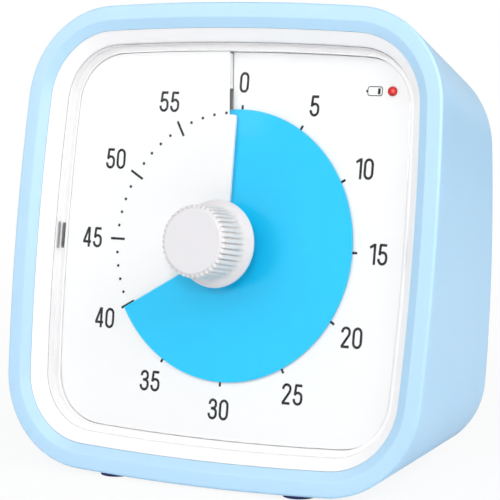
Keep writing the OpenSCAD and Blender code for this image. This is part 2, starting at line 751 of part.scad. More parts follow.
module switch_body() {
  y1 = panel_y0;
  color([0.16, 0.16, 0.17]) upright() difference() {
    block(switch_x - 6.5, switch_x + 6.5, y1 - 5.5, y1, switch_z - 3.1, switch_z + 3.1);
    block(switch_x - switch_travel / 2 - 2.4, switch_x + switch_travel / 2 + 2.4,
      y1 - 2.4, y1 + 1, switch_z - 1.7, switch_z + 1.7);
  }
}

// slider at the left end of its travel, seen from the back at the right
module switch_slider() {
  x = switch_x - switch_travel / 2;
  color([0.93, 0.93, 0.94]) upright() union() {
    block(x - 2.1, x + 2.1, panel_y0 - 2.1, panel_y1 + 0.2, switch_z - 1.4, switch_z + 1.4);
    for (k = [-1 : 1]) block(x + 1.3 * k - 0.3, x + 1.3 * k + 0.3, panel_y1 + 0.1,
      panel_y1 + 0.5, switch_z - 1.4, switch_z + 1.4);
  }
}

module rear_screws() {
  color([0.62, 0.63, 0.65]) upright() for (s = screw_spots) {
    bar(s.x, s.y, 1.2, panel_y0 - 8, panel_y1 - 0.9);
    bar(s.x, s.y, 2.5, panel_y1 - 1.0, panel_y1 - 0.1);
  }
}

case_shell();
dial_frame();
clear_cover();
dial_plate();
colour_disc();
disc_hub();
knob();
spindle();
spindle_bush();
spindle_wheel();
clutch_spring();
clutch_clip();
motor_can();
motor_shaft();
motor_pinion();
chassis();
gear_cover();
circuit_board();
sounder();
indicator_lamp();
rear_cover();
battery_door();
battery_cell();
cell_spring();
cell_plate();
switch_body();
switch_slider();
rear_screws();
chassis_screws();
front_feet();
rear_feet();
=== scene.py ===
# Visual countdown timer for a desk: the finish of every piece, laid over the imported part.
import json
import math

import bmesh
import bpy
import numpy as np
from mathutils import Matrix, Vector


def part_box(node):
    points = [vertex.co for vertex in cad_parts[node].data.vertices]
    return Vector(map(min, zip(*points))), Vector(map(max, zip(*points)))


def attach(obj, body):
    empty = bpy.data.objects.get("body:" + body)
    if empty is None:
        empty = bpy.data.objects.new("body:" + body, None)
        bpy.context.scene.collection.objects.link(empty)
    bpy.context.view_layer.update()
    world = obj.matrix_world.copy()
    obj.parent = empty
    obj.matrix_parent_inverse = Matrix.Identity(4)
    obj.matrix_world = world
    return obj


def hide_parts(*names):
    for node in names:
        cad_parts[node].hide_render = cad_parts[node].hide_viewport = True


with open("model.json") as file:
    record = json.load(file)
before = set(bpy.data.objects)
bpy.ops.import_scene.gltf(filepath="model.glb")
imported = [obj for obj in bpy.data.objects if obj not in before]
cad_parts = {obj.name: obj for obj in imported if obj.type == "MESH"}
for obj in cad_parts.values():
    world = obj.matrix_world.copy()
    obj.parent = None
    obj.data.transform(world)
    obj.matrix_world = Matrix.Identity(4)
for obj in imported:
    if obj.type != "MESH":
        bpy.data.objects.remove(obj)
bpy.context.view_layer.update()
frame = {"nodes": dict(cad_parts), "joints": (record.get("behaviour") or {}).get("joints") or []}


# ---- Case shell
# One injection-moulded shell of blue ABS: a square tube with bowed sides and round corners, drafted
# towards the back. Its front rim rises to a soft crest and slopes in to meet the white frame.
MM = 0.001
knob_hinge = next(joint for joint in frame["joints"] if joint["name"] == "knob_turn")
dial_centre = Vector(knob_hinge["pos_m"])
lean = math.atan2(-knob_hinge["axis"][2], knob_hinge["axis"][1])
# takes millimetres about the dial's centre: X to the right, Y into the case, Z up the leaning dial
DIAL = Matrix.Translation(dial_centre) @ Matrix.Scale(MM, 4) @ Matrix.Rotation(-lean, 4, "X")

front_half = 56.15
side_bow = 620.0
corner_radius = 23.1
draft = 0.173
case_depth = 45.2
wall = 2.3
front_plane = -6.6
crest_half = 52.5
crest_plane = -6.83
opening_half = 50.15
opening_plane = -5.66
lip_plane = -3.4
edge_rise = 0.14
# the rear cover's seat inside the back edge: its width, and depths in from the edge
seat_width = 1.6
seat_back = 2.9
seat_front = 5.2
seat_foot = 7.4
shell_blue = (0.448, 0.692, 0.905)
cloud_mm = 24
gloss_spread = 0.06
grain_depth = 0.1 * MM


class Value:
    """A node's output that adds, multiplies and compares as a number does."""

    def __init__(self, tree, socket):
        self.tree = tree
        self.socket = socket

    def math(self, operation, first, second):
        return self.tree.add("ShaderNodeMath", {"operation": operation}, {0: first, 1: second})

    def __add__(self, other):
        return self.math("ADD", self, other)

    def __sub__(self, other):
        return self.math("SUBTRACT", self, other)

    def __rsub__(self, other):
        return self.math("SUBTRACT", other, self)

    def __mul__(self, other):
        return self.math("MULTIPLY", self, other)

    def __truediv__(self, other):
        return self.math("DIVIDE", self, other)

    def __pow__(self, other):
        return self.math("POWER", self, other)

    def __mod__(self, other):
        return self.math("MODULO", self, other)

    def __gt__(self, other):
        return self.math("GREATER_THAN", self, other)

    __radd__ = __add__
    __rmul__ = __mul__


class Tree:
    """The nodes of a material, of the world or of a geometry tree."""

    def __init__(self, tree):
        self.tree = tree
        tree.nodes.clear()

    def add(self, kind, settings=None, inputs=None, output=0):
        """Adds a node with its settings and inputs, and gives one of its outputs."""
        node = self.tree.nodes.new(kind)
        for key, value in (settings or {}).items():
            setattr(node, key, value)
        for key, value in (inputs or {}).items():
            if isinstance(value, Value):
                self.tree.links.new(value.socket, node.inputs[key])
            else:
                node.inputs[key].default_value = value
        return Value(self, node.outputs[output]) if node.outputs else node

    def mix(self, share, first, second):
        """A colour between two colours."""
        return self.add("ShaderNodeMix", {"data_type": "RGBA"}, {0: share, 6: first, 7: second}, 2)

    def noise(self, place, size_mm, detail=2.0):
        return self.add("ShaderNodeTexNoise", None,
                        {"Vector": place, "Scale": 1 / (size_mm * MM), "Detail": detail})

    def place(self):
        return self.add("ShaderNodeTexCoord", output="Object")

    def ramp(self, value, start, end, first=0.0, last=1.0):
        """Runs from first to last while the value runs from start to end."""
        return self.add("ShaderNodeMapRange", None, {"Value": value, 1: start, 2: end, 3: first, 4: last})

    def vector(self, operation, first, second=(0, 0, 0), output=0):
        return self.add("ShaderNodeVectorMath", {"operation": operation}, {0: first, 1: second}, output)

    def bump(self, height, strength, depth):
        return self.add("ShaderNodeBump", None, {"Height": height, "Strength": strength, "Distance": depth})

    def surface(self, **inputs):
        """The plastic, metal or glass shader; an underscore stands for a space in an input's name."""
        inputs = {name.replace("_", " "): value for name, value in inputs.items()}
        self.add("ShaderNodeOutputMaterial", None,
                 {"Surface": self.add("ShaderNodeBsdfPrincipled", None, inputs)})


def colour4(colour, factor=1.0):
    """A colour with full alpha, made lighter or darker."""
    return (*(min(1.0, part * factor) for part in colour), 1.0)


def plain_material(name):
    """A new material and its empty tree of nodes."""
    material = bpy.data.materials.new(name)
    material.use_nodes = True
    return material, Tree(material.node_tree)


def moulded(name, colour, roughness, grain=0.06, grain_mm=0.6, cloud=0.015, **fixed):
    """Moulded plastic: fine tool grain, faint clouds in the pigment and a slightly uneven gloss."""
    material, tree = plain_material(name)
    place = tree.place()
    fine = tree.noise(place, grain_mm, 3.0)
    broad = tree.noise(place, cloud_mm)
    tint = tree.mix(broad, colour4(colour, 1 - cloud), colour4(colour, 1 + cloud))
    tree.surface(Base_Color=tint, Roughness=broad * gloss_spread + (roughness - gloss_spread / 2),
                 Normal=tree.bump(fine, grain, grain_depth), **fixed)
    return material


def outline(half, corner_steps=20, side_steps=6):
    """Square with bowed sides and round corners, anticlockwise from the middle of the right side."""
    radius = corner_radius - (front_half - half)
    bow = side_bow - half
    middle = (math.sqrt(2 * (side_bow - radius) ** 2 - bow ** 2) - bow) / 2
    side_turn = math.atan2(middle, middle + bow)
    side = [(side_bow * math.cos(t) - bow, side_bow * math.sin(t))
            for t in np.linspace(0, side_turn, side_steps, endpoint=False)]
    corner = [(middle + radius * math.cos(t), middle + radius * math.sin(t))
              for t in np.linspace(side_turn, math.pi / 2 - side_turn, corner_steps + 1)]
    rings = [np.array(side + corner + [(z, x) for x, z in reversed(side[1:])])]
    quarter_turn = np.array([[0, 1], [-1, 0]])
    for _ in range(3):
        rings.append(rings[-1] @ quarter_turn)
    return np.concatenate(rings)


def flat_ring(half, y):
    """The outline at one depth."""
    ring = outline(half)
    return np.column_stack([ring[:, 0], np.full(len(ring), y), ring[:, 1]])


def drawn_ring(half, y):
    """The same, drawn in by the draft of the case."""
    ring = flat_ring(half, y)
    ring[:, [0, 2]] *= 1 - max(0.0, y - front_plane) * draft / front_half
    return ring


def back_ring(half, depth):
    """Drafted ring cut by an upright plane that meets the dial's axis at this depth."""
    ring = outline(half)
    slope = draft / front_half
    z = ring[:, 1] * (1 - (depth - front_plane) * slope) / (1 - ring[:, 1] * draft * slope)
    y = depth - draft * z
    return np.column_stack([ring[:, 0] * (1 - (y - front_plane) * slope), y, z])


def soften(corners, steps=6):
    """A section line of (across, along, radius) points, each corner turned into an arc."""
    line = []
    for k, (x, y, radius) in enumerate(corners):
        here = Vector((x, y))
        if radius == 0:
            line.append(tuple(here))
            continue
        before = (Vector(corners[k - 1][:2]) - here).normalized()
        after = (Vector(corners[(k + 1) % len(corners)][:2]) - here).normalized()
        half_turn = before.angle(after) / 2
        centre = here + (before + after).normalized() * radius / math.sin(half_turn)
        first = here + before * radius / math.tan(half_turn) - centre
        last = here + after * radius / math.tan(half_turn) - centre
        start = math.atan2(first.y, first.x)
        turn = (math.atan2(last.y, last.x) - start + math.pi) % (2 * math.pi) - math.pi
        for t in np.linspace(0, 1, steps):
            line.append((centre.x + radius * math.cos(start + t * turn),
                         centre.y + radius * math.sin(start + t * turn)))
    return line


def loft(rings, joined=True):
    """Points and faces of rings with equal counts; joined also closes the last ring to the first."""
    n, m = len(rings[0]), len(rings)
    faces = [(j * n + i, j * n + (i + 1) % n, (j + 1) % m * n + (i + 1) % n, (j + 1) % m * n + i)
             for j in range(m if joined else m - 1) for i in range(n)]
    return np.concatenate(rings), faces


def mesh_of(name, points, faces, place):
    mesh = bpy.data.meshes.new(name)
    mesh.from_pydata([place @ Vector(point) for point in points], [], faces)
    return mesh


def edit(mesh, *steps):
    """Opens a mesh, runs the steps on it and writes it back."""
    opened = bmesh.new()
    opened.from_mesh(mesh)
    for step in steps:
        step(opened)
    opened.to_mesh(mesh)
    opened.free()


def merge(opened):
    bmesh.ops.remove_doubles(opened, verts=opened.verts, dist=0.002 * MM)


def face_outward(opened):
    bmesh.ops.recalc_face_normals(opened, faces=opened.faces)


def in_scene(name, data):
    """A new object at the origin of the scene."""
    obj = bpy.data.objects.new(name, data)
    bpy.context.scene.collection.objects.link(obj)
    return obj


def only_material(mesh, material):
    mesh.materials.clear()
    mesh.materials.append(material)


def piece(name, points, faces, place, *finish, **more):
    """A closed shape, given in millimetres in its own place, as a dressed piece."""
    return dressed(mesh_of(name, points, faces, place), name, *finish, **more)


def dressed(mesh, name, material, body, node=None, slot=None, sharp=30, weighted=True):
    """Faces outward, smooth shading up to the sharp edges, a material, and a ride on the body."""
    edit(mesh, merge, face_outward)
    mesh.shade_smooth()
    mesh.set_sharp_from_angle(angle=math.radians(sharp))
    only_material(mesh, material)
    obj = in_scene(name, mesh)
    if weighted:
        normals = obj.modifiers.new("even normals", "WEIGHTED_NORMAL")
        normals.keep_sharp = True
    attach(obj, body)
    if node:
        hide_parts(node)
    return obj


blue_plastic = moulded("blue_case_plastic", shell_blue, 0.34, Specular_IOR_Level=1.0,
                       Subsurface_Weight=0.2, Subsurface_Radius=(0.35, 0.75, 1.0),
                       Subsurface_Scale=1.5 * MM)
inside_half = front_half - wall
rim = soften([(opening_half, lip_plane, 0), (opening_half, opening_plane, 0.08),
              (crest_half, crest_plane, 0.9), (front_half, front_plane - edge_rise, 0.75),
              (front_half, front_plane + 2.5, 0)])
back_edge = soften([(front_half, case_depth - 4, 0), (front_half, case_depth, 1.0),
                    (inside_half, case_depth, 0.25), (inside_half, case_depth - seat_back, 0)])
shell_rings = [drawn_ring(inside_half, lip_plane)]
shell_rings += [flat_ring(half, y) if y < front_plane + 0.1 or half < crest_half else drawn_ring(half, y)
                for half, y in rim]
shell_rings += [back_ring(half, depth) for half, depth in back_edge]
shell_rings += [back_ring(inside_half - seat_width, case_depth - seat_back),
                back_ring(inside_half - seat_width, case_depth - seat_front),
                back_ring(inside_half, case_depth - seat_foot)]
piece("shell", *loft(shell_rings), DIAL, blue_plastic, "case", "case_shell", "blue_case")


# ---- White frame
# A separate white moulding between the blue rim and the clear cover. It slopes in to the cover's edge,
# carries the cover on a ledge and has a slot for the cover's snap tab at each side.
cover_half = 47.3
cover_plane = -2.64
ledge_half = 45.5
frame_back = 2.9
frame_gap = 0.06
frame_lip_width = 2.3
frame_lip_thick = 2
frame_inset = 0.35
slot_x = 46.45
slot_half_width = 0.45
slot_half_height = 3.1
cutter_excess = 0.2
frame_white = (0.98, 0.96, 0.96)
white_plastic = moulded("white_frame_plastic", frame_white, 0.38)
frame_half = opening_half - frame_gap
frame_lip_back = lip_plane + frame_lip_thick
frame_line = soften([(frame_half, lip_plane, 0), (opening_half + frame_lip_width, lip_plane, 0),
                     (opening_half + frame_lip_width, frame_lip_back, 0),
                     (opening_half - frame_inset, frame_lip_back, 0),
                     (opening_half - frame_inset, frame_back, 0), (ledge_half, frame_back, 0.1),
                     (ledge_half, 0, 0.12), (cover_half, 0, 0), (cover_half, cover_plane, 0.3),
                     (frame_half, opening_plane, 0.06)])


def box_points(low, high):
    """Points and faces of a box between two corners."""
    corners = [(x, y, z) for x in (low[0], high[0]) for y in (low[1], high[1]) for z in (low[2], high[2])]
    sides = [(0, 1, 3, 2), (4, 6, 7, 5), (0, 4, 5, 1), (2, 3, 7, 6), (0, 2, 6, 4), (1, 5, 7, 3)]
    return corners, sides


def joined_parts(*parts):
    """Several shapes as one."""
    points, faces = [], []
    for part_points, part_faces in parts:
        faces += [tuple(len(points) + i for i in face) for face in part_faces]
        points += [tuple(point) for point in part_points]
    return points, faces


def final_mesh(obj):
    """The plain mesh that an object's modifiers leave."""
    graph = bpy.context.evaluated_depsgraph_get()
    return bpy.data.meshes.new_from_object(obj.evaluated_get(graph), depsgraph=graph)


def cut_boxes(shape, boxes, place):
    """The mesh of a shape with boxes cut out of it, each given by its corners in millimetres."""
    mesh = mesh_of("uncut", *shape, place)
    edit(mesh, face_outward)
    obj = in_scene("uncut", mesh)
    cutter_shape = joined_parts(*(box_points(*box) for box in boxes))
    cutter = in_scene("cutter", mesh_of("cutter", *cutter_shape, place))
    cut = obj.modifiers.new("slots", "BOOLEAN")
    cut.operation = "DIFFERENCE"
    cut.solver = "EXACT"
    cut.object = cutter
    result = final_mesh(obj)
    bpy.data.objects.remove(obj)
    bpy.data.objects.remove(cutter)
    return result


slot_boxes = [((x - slot_half_width, -cutter_excess, -slot_half_height),
               (x + slot_half_width, frame_back + cutter_excess, slot_half_height))
              for x in (-slot_x, slot_x)]
frame_mesh = cut_boxes(loft([flat_ring(half, y) for half, y in frame_line]), slot_boxes, DIAL)
dressed(frame_mesh, "white_frame", white_plastic, "case", "dial_frame", "white_dial")


# ---- Dial
# A thin white moulding that rises once round like a screw thread, so that its two ends meet in a step
# at twelve o'clock. The disc comes out of the slit in that step, under a lip.
pitch = 1.81
dial_thick = 0.7
slit = math.radians(4.35)
slit_reach = 36.9
disc_radius = 31.9
dial_hole = 5.2
dial_half = 45.3
# the lip over the slit: radii of its ends, its free edge, its round corner and its hold on the dial
lip_start = 10.2
lip_end = disc_radius - 1.4
lip_edge = -0.62
lip_round = 0.6
lip_hold = 0.3
dial_white = (0.89, 0.89, 0.89)
dial_plastic = moulded("white_dial_plastic", dial_white, 0.5, grain=0.04, Specular_IOR_Level=0.25)


def reach(angle, half):
    """Distance from the centre to the outline, the angle clockwise from twelve o'clock."""
    ring = outline(half)
    turns = np.arctan2(ring[:, 0], ring[:, 1])
    order = np.argsort(turns)
    wrapped = (angle + math.pi) % (2 * math.pi) - math.pi
    return np.interp(wrapped, turns[order], np.hypot(ring[:, 0], ring[:, 1])[order],
                     period=2 * math.pi)


def dial_depth(angle):
    """Depth of the dial's face, the angle clockwise from twelve o'clock."""
    return pitch * (1 - angle / (2 * math.pi))


def helical_sheet(start, end, steps, inner, outer_at, forward, thick, undercut=0.0):
    """A sheet that rises with the dial from one angle to another; its last end can be cut under."""
    rings = []
    for angle in np.linspace(start, end, steps + 1):
        y = dial_depth(angle) - forward
        outer = outer_at(angle)
        section = [(inner, y), (outer, y), (outer, y + thick), (inner, y + thick)]
        rings.append(np.array([(r * math.sin(angle), d, r * math.cos(angle)) for r, d in section]))
    rings[-1][2:, 0] -= undercut
    points, faces = loft(rings, joined=False)
    last = len(points) - 4
    return points, faces + [(0, 3, 2, 1), (last, last + 1, last + 2, last + 3)]


def prism(shape, front, back):
    """A flat shape carried from one depth to another."""
    n = len(shape)
    points = [(x, y, z) for y in (front, back) for x, z in shape]
    faces = [(i, (i + 1) % n, n + (i + 1) % n, n + i) for i in range(n)]
    return points, faces + [tuple(range(n)), tuple(range(2 * n - 1, n - 1, -1))]


def arc(cx, cz, rx, rz, start, end, steps=10):
    """Points along part of an ellipse, in degrees anticlockwise from the right."""
    return [(cx + rx * math.cos(math.radians(t)), cz + rz * math.sin(math.radians(t)))
            for t in np.linspace(start, end, steps + 1)]


dial_sheet = helical_sheet(-slit, 2 * math.pi - slit, 240, dial_hole, lambda angle: reach(angle, dial_half),
                           0, dial_thick, undercut=0.6)
step_top = dial_depth(2 * math.pi - slit)
lip = [(-lip_start * math.sin(slit) - lip_hold, lip_start), (lip_edge, lip_start)]
lip += arc(lip_edge - lip_round, lip_end - lip_round, lip_round, lip_round, 0, 90, 6)
lip += [(-lip_end * math.sin(slit) - lip_hold, lip_end)]
# the wall that closes the step from the slit's outer end to the edge of the dial
step_wall, step_sides = box_points((-dial_thick - 0.2, step_top + 0.3, slit_reach),
                                   (-0.22, step_top + pitch + 0.2, reach(-slit, dial_half) - 0.3))
step_wall = [Matrix.Rotation(-slit, 3, "Y") @ Vector(point) for point in step_wall]
dial_parts = joined_parts(dial_sheet, prism(lip, step_top, step_top + dial_thick), (step_wall, step_sides))
piece("dial", *dial_parts, DIAL, dial_plastic, "case", "dial_plate", "white_dial", weighted=False)


# ---- Printing on the dial
# Minute dots, five-minute ticks, numbers and a battery sign, screen printed in black ink on the dial.
# Each line of a number is a stroke of even width with square ends.
ink_thick = 0.02
tick_radius = 31.03
tick_length = 3.95
tick_inward = 2
tick_width = 0.58
dot_radius = 0.36
number_radius = 38.3
number_height = 4.8
number_stroke = 0.62
figure_gap = 0.12
ink, ink_tree = plain_material("black_ink")
ink_speck = ink_tree.noise(ink_tree.place(), 0.15)
ink_tree.surface(Base_Color=ink_tree.mix(ink_speck, (0.006, 0.006, 0.008, 1), (0.014, 0.014, 0.017, 1)),
                 Roughness=ink_speck * 0.2 + 0.55, Specular_IOR_Level=0.1)


def geometry_tree(name, inputs):
    """A geometry tree with a mesh in, the named inputs and a mesh out; gives the tree and its inputs."""
    group = bpy.data.node_groups.new(name, "GeometryNodeTree")
    group.interface.new_socket("Mesh", in_out="INPUT", socket_type="NodeSocketGeometry")
    for label, kind, value in inputs:
        socket = group.interface.new_socket(label, in_out="INPUT", socket_type="NodeSocket" + kind)
        if value is not None:
            socket.default_value = value
    group.interface.new_socket("Mesh", in_out="OUTPUT", socket_type="NodeSocketGeometry")
    tree = Tree(group)
    entry = tree.tree.nodes.new("NodeGroupInput")
    return tree, {socket.name: Value(tree, socket) for socket in entry.outputs if socket.name}


def end_tree(tree, mesh, material):
    """Ends a tree: real geometry instead of instances, in one material."""
    real = tree.add("GeometryNodeRealizeInstances", None, {0: mesh})
    tree.add("NodeGroupOutput", None,
             {0: tree.add("GeometryNodeSetMaterial", None, {"Geometry": real, "Material": material})})
    return tree.tree


def grown(points, edges, faces, tree, settings):
    """The plain mesh that a geometry tree makes of a small mesh in millimetres."""
    seed = bpy.data.meshes.new("seed")
    seed.from_pydata(points, edges, faces)
    source = in_scene("seed", seed)
    modifier = source.modifiers.new("tree", "NODES")
    modifier.node_group = tree
    for item in tree.interface.items_tree:
        if item.in_out == "INPUT" and item.name in settings:
            modifier[item.identifier] = settings[item.name]
    mesh = final_mesh(source)
    bpy.data.objects.remove(source)
    return mesh


def round_tree():
    """Copies of a mesh round the Z axis, the first as it is; with Skip set, every Skip-th is left out."""
    tree, given = geometry_tree("copies_round", [("Count", "Int", 12), ("Skip", "Int", 0),
                                                 ("Material", "Material", None)])
    index = tree.add("GeometryNodeInputIndex")
    spots = tree.add("GeometryNodePoints", None, {"Count": given["Count"]})
    turn = tree.add("ShaderNodeCombineXYZ", None, {"Z": index * (-2 * math.pi) / given["Count"]})
    skipping = given["Skip"] > 0.5
    kept = (index % given["Skip"]) > skipping - 0.5
    copies = tree.add("GeometryNodeInstanceOnPoints", None, {
        "Points": spots, "Selection": kept, "Instance": given["Mesh"], "Rotation": turn})
    return end_tree(tree, copies, given["Material"])


def stroke_tree():
    """A flat ribbon of even width along every chain of edges in the XY plane."""
    tree, given = geometry_tree("strokes", [("Width", "Float", 0.5), ("Material", "Material", None)])
    path = tree.add("GeometryNodeMeshToCurve", None, {"Mesh": given["Mesh"]})
    path = tree.add("GeometryNodeSetCurveNormal", {"mode": "Z_UP"}, {"Curve": path})
    end = tree.add("ShaderNodeCombineXYZ", None, {"X": given["Width"] / 2})
    start = tree.add("ShaderNodeCombineXYZ", None, {"X": given["Width"] / -2})
    across_line = tree.add("GeometryNodeCurvePrimitiveLine", None, {"Start": start, "End": end})
    ribbon = tree.add("GeometryNodeCurveToMesh", None, {"Curve": path, "Profile Curve": across_line})
    return end_tree(tree, ribbon, given["Material"])


def face_front(opened):
    front = DIAL.to_3x3() @ Vector((0, -1, 0))
    for face in opened.faces:
        if face.normal.dot(front) < 0:
            face.normal_flip()


def on_dial(mesh, name):
    """Lays a flat mesh in millimetres on the dial's rising face, as a film of ink."""
    for vertex in mesh.vertices:
        x, z, _ = vertex.co
        angle = math.atan2(x, z)
        angle += 2 * math.pi if angle < -slit else 0
        vertex.co = DIAL @ Vector((x, dial_depth(angle) - ink_thick, z))
    edit(mesh, face_front)
    only_material(mesh, ink)
    obj = in_scene(name, mesh)
    film = obj.modifiers.new("film", "SOLIDIFY")
    film.thickness = ink_thick * MM
    film.offset = -1
    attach(obj, "case")


# each figure's width and its strokes, on a grid one figure high
bowl = [(0.448, 0.27)] + arc(0.25, 0.27, 0.198, 0.218, 0, -180) + [(0.052, 0.30)]
figures = {
    "0": (0.50, [arc(0.25, 0.713, 0.198, 0.235, 180, 0) + arc(0.25, 0.287, 0.198, 0.235, 0, -180)
                 + [(0.052, 0.713)]]),
    "1": (0.33, [[(0.02, 0.80), (0.275, 0.955)], [(0.278, 1.0), (0.278, 0.0)]]),
    "2": (0.50, [[(0.062, 0.715)] + arc(0.255, 0.755, 0.193, 0.193, 180, -5)
                 + [(0.435, 0.66), (0.40, 0.575), (0.065, 0.06)], [(0.03, 0.052), (0.46, 0.052)]]),
    "3": (0.50, [[(0.08, 0.725)] + arc(0.25, 0.762, 0.172, 0.186, 180, 0)
                 + arc(0.225, 0.70, 0.197, 0.163, 0, -90) + [(0.155, 0.537)],
                 [(0.17, 0.53)] + arc(0.225, 0.35, 0.223, 0.18, 90, 0) + bowl]),
    "4": (0.50, [[(0.335, 1.0), (0.055, 0.25)], [(0.025, 0.265), (0.49, 0.265)],
                 [(0.365, 1.0), (0.365, 0.0)]]),
    "5": (0.50, [[(0.455, 0.948), (0.085, 0.948)], [(0.128, 0.95), (0.092, 0.47)],
                 arc(0.255, 0.40, 0.193, 0.20, 158, 0) + bowl]),
}


def number_strokes(minute):
    """Strokes of one number, centred on its place on the dial, in millimetres."""
    signs = [figures[sign] for sign in str(minute)]
    left = -(sum(width for width, _ in signs) + figure_gap * (len(signs) - 1)) / 2
    turn = math.radians(6 * minute)
    middle = (number_radius * math.sin(turn), number_radius * math.cos(turn))
    strokes = []
    for width, lines in signs:
        strokes += [[(middle[0] + (x + left) * number_height, middle[1] + (z - 0.5) * number_height)
                     for x, z in line] for line in lines]
        left += width + figure_gap
    return strokes


def chains(strokes):
    """Points and edges of strokes."""
    points, edges = [], []
    for line in strokes:
        edges += [(len(points) + i, len(points) + i + 1) for i in range(len(line) - 1)]
        points += [(x, z, 0) for x, z in line]
    return points, edges


strokes_of = stroke_tree()
numbers = [line for minute in range(0, 60, 5) for line in number_strokes(minute)]
on_dial(grown(*chains(numbers), [], strokes_of, {"Width": number_stroke, "Material": ink}), "numbers")

copies_round = round_tree()
tick = [(x, tick_radius - tick_inward + z, 0)
        for x, z in ((-tick_width / 2, 0), (tick_width / 2, 0), (tick_width / 2, tick_length),
                     (-tick_width / 2, tick_length))]
on_dial(grown(tick, [], [(0, 1, 2, 3)], copies_round, {"Count": 12, "Skip": 0, "Material": ink}), "ticks")
dot = [(x, tick_radius + z, 0) for x, z in arc(0, 0, dot_radius, dot_radius, 0, 330, 11)]
on_dial(grown(dot, [], [tuple(range(12))], copies_round, {"Count": 60, "Skip": 5, "Material": ink}), "dots")

# the battery sign: a round-cornered outline, one bar of charge and the pole at its left
sign_corner = 0.55
sign_left, sign_right = 32.55 + sign_corner, 36.22 - sign_corner
sign_bottom, sign_top = 35.84 + sign_corner, 37.88 - sign_corner
sign_line = [(sign_right, sign_bottom - sign_corner)]
for x, z, first in ((sign_right, sign_bottom, -90), (sign_right, sign_top, 0), (sign_left, sign_top, 90),
                    (sign_left, sign_bottom, 180)):
    sign_line += arc(x, z, sign_corner, sign_corner, first, first + 90, 5)
sign_line.append(sign_line[0])
for name, line, width in (("battery_sign_outline", sign_line, 0.2),
                          ("battery_sign_charge", [(35.42, 36.18), (35.42, 37.52)], 0.66),
                          ("battery_sign_pole", [(32.28, 36.60), (32.28, 37.12)], 0.34)):
    on_dial(grown(*chains([line]), [], strokes_of, {"Width": width, "Material": ink}), name)


# ---- Indicator lamp
# A red light-emitting diode whose domed lens stands through a round hole in the dial.
lamp_x, lamp_z, lamp_radius = 38.85, 36.9, 1.12
lamp_base_radius, lamp_base_front, lamp_base_back = 1.9, 6.2, 6.8
on_axis = 0.001
lens, lens_tree = plain_material("red_lens")
lens_place = lens_tree.place()
lens_cloud = lens_tree.noise(lens_place, 0.8)
lamp_front = dial_depth(math.atan2(lamp_x, lamp_z)) - 0.1
# painted highlight and painted shade: a pale pink spot is painted right of the lens's top, and the red
# darkens from there out to the rim
highlight_spot = DIAL @ Vector((lamp_x + lamp_radius / 2, lamp_front - lamp_radius * 0.87, lamp_z))
near_highlight = lens_tree.ramp(lens_tree.vector("DISTANCE", lens_place, highlight_spot, 1), 0.0, 1.5 * MM, 1.0, 0.0)
lens_shaded_body = lens_tree.mix(near_highlight + lens_cloud * 0.1, (0.20, 0.001, 0.002, 1), (0.95, 0.006, 0.004, 1))
lens_tree.surface(Base_Color=lens_tree.mix(near_highlight ** 6, lens_shaded_body, (1.0, 0.3, 0.28, 1)),
                  Roughness=lens_cloud * 0.05 + 0.35, Specular_IOR_Level=0.05,
                  Emission_Color=(1.0, 0.01, 0.01, 1), Emission_Strength=0.06)


def lathe(line, steps=48):
    """A turned shape about the Y axis; the line holds radius and depth, from axis to axis."""
    rings = [np.array([(r * math.sin(t), y, r * math.cos(t))
                       for t in np.linspace(0, 2 * math.pi, steps, endpoint=False)]) for r, y in line]
    return loft(rings, joined=False)


lamp_line = [(on_axis, lamp_front - lamp_radius)]
lamp_line += [(lamp_radius * math.sin(t), lamp_front - lamp_radius * math.cos(t))
              for t in np.linspace(0.15, math.pi / 2, 10)]
lamp_line += [(lamp_radius, lamp_base_front), (lamp_base_radius, lamp_base_front),
              (lamp_base_radius, lamp_base_back), (on_axis, lamp_base_back)]
lamp_points, lamp_faces = lathe(lamp_line)
piece("lamp_lens", lamp_points + np.array([lamp_x, 0, lamp_z]), lamp_faces, DIAL, lens, "case",
      "indicator_lamp", "red_lens")


# ---- Coloured disc
# A thin disc of blue plastic sheet, cut along one radius and twisted to the dial's own rise. It runs a
# hair above the dial, and its free end comes out of the slit as the knob is turned.
disc_gap = 0.3
disc_thick = 0.3
disc_hole = 4.2
# the disc's ends, in degrees clockwise from twelve o'clock; a cut of 2 degrees parts them
disc_shown = 240
disc_start = math.radians(disc_shown - 358.6)
disc_end = math.radians(disc_shown - 0.6)
disc_blue = (0.007, 0.557, 0.925)
disc_plastic = moulded("blue_disc_plastic", disc_blue, 0.6, grain=0.03, cloud=0.01, Specular_IOR_Level=0.1)
disc_sheet = helical_sheet(disc_start, disc_end, 300, disc_hole, lambda angle: disc_radius,
                           disc_gap + disc_thick, disc_thick)
piece("disc", *disc_sheet, DIAL, disc_plastic, "disc", "colour_disc", "blue_disc", weighted=False)


# ---- Clear cover
# A shallow tray moulded in clear acrylic. Its thin walls stand on the frame's ledge, and a tab at each
# side snaps through a slot. The knob's boss passes a hole in the middle.
cover_thick = 1.5
cover_gap = 0.1
cover_hole = 4.6
cover_inside = 45.7
clear, clear_tree = plain_material("clear_acrylic")
# the grey of the cover's lines and tabs is painted shade, carried by a point attribute of the mesh
edge_shade_paint = clear_tree.add("ShaderNodeAttribute", {"attribute_name": "painted_edge_shade"}, output="Fac")
slant = clear_tree.add("ShaderNodeLayerWeight", None, {"Blend": 0.5}, output="Facing")
clear_ripple = clear_tree.noise(clear_tree.place(), 9)
clear_tree.surface(Base_Color=clear_tree.mix(edge_shade_paint, (1, 1, 1, 1), (0.16, 0.16, 0.19, 1)),
                   Metallic=1 - edge_shade_paint, Roughness=clear_ripple * 0.02 + 0.02,
                   Alpha=slant ** 5 * 0.12 + 0.01 + edge_shade_paint * 0.7)
